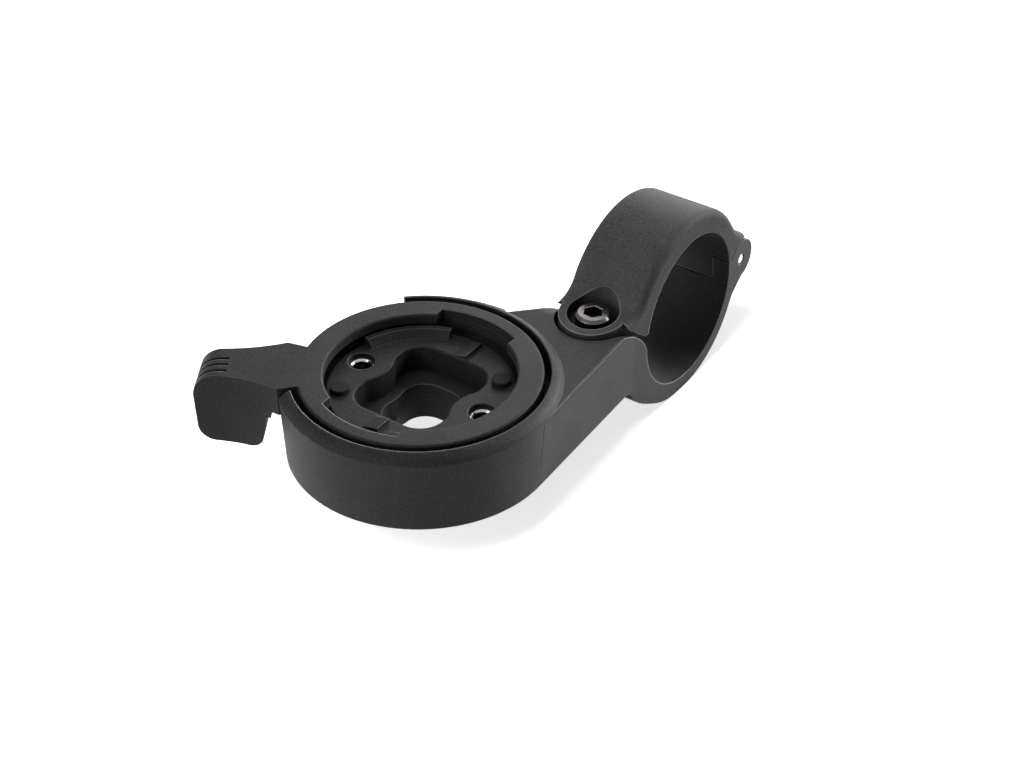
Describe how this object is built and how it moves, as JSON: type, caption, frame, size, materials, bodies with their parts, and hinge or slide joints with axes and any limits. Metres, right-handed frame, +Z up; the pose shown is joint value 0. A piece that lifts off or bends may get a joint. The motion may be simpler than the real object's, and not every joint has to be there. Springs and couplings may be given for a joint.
{
  "type": "bike computer mount",
  "caption": "Out-front handlebar mount for a bike computer: round bayonet socket with a locking lever ring, flat arm and hinged bar clamp closed by a hex screw.",
  "frame": {"origin": "centre of the handlebar bore, midway across the clamp's width", "axes": "+Y along the handlebar bore, +Z up out of the open socket, socket towards -X"},
  "size_m": [0.1085, 0.0644, 0.0395],
  "materials": {
    "body_plastic": "fine moulded grain, satin matt black",
    "cap_plastic": "fine moulded grain, satin matt black",
    "lever_plastic": "fine moulded grain, matt black",
    "plate_plastic": "smooth satin black",
    "screw_steel": "dark burnished steel",
    "pin_steel": "ground steel",
    "insert_steel": "turned steel",
    "insert_brass": "turned brass",
    "bumper_rubber": "soft black rubber",
    "small_screw_steel": "black zinc steel"
  },
  "bodies": {
    "mount_base": {"base_body": "body_plastic", "hinge_pin": "pin_steel", "bolt_insert": "insert_brass", "centre_plate": "plate_plastic", "accessory_insert_near": "insert_steel", "accessory_insert_far": "insert_steel", "bumper_near": "bumper_rubber", "bumper_far": "bumper_rubber", "plate_screw_1": "small_screw_steel", "plate_screw_2": "small_screw_steel", "plate_screw_3": "small_screw_steel", "plate_screw_4": "small_screw_steel"},
    "clamp_cap_body": {"clamp_cap": "cap_plastic"},
    "clamp_screw_body": {"clamp_bolt": "screw_steel"},
    "lock_ring_body": {"lock_ring": "lever_plastic"}
  },
  "joints": [
    {"name": "clamp_hinge", "type": "hinge", "parent": "mount_base", "child": "clamp_cap_body", "pos_m": [0.0208, 0, 0.0007], "axis": [0, 1, 0], "range_deg": [0, 100]},
    {"name": "clamp_screw_turn", "type": "hinge", "parent": "clamp_cap_body", "child": "clamp_screw_body", "pos_m": [-0.0227, 0, 0.0088], "axis": [0, 0, 1], "continuous": true},
    {"name": "lock_lever_turn", "type": "hinge", "parent": "mount_base", "child": "lock_ring_body", "pos_m": [-0.057, 0.0155, 0.0091], "axis": [0, 0, 1], "range_deg": [-57, 0]}
  ]
}
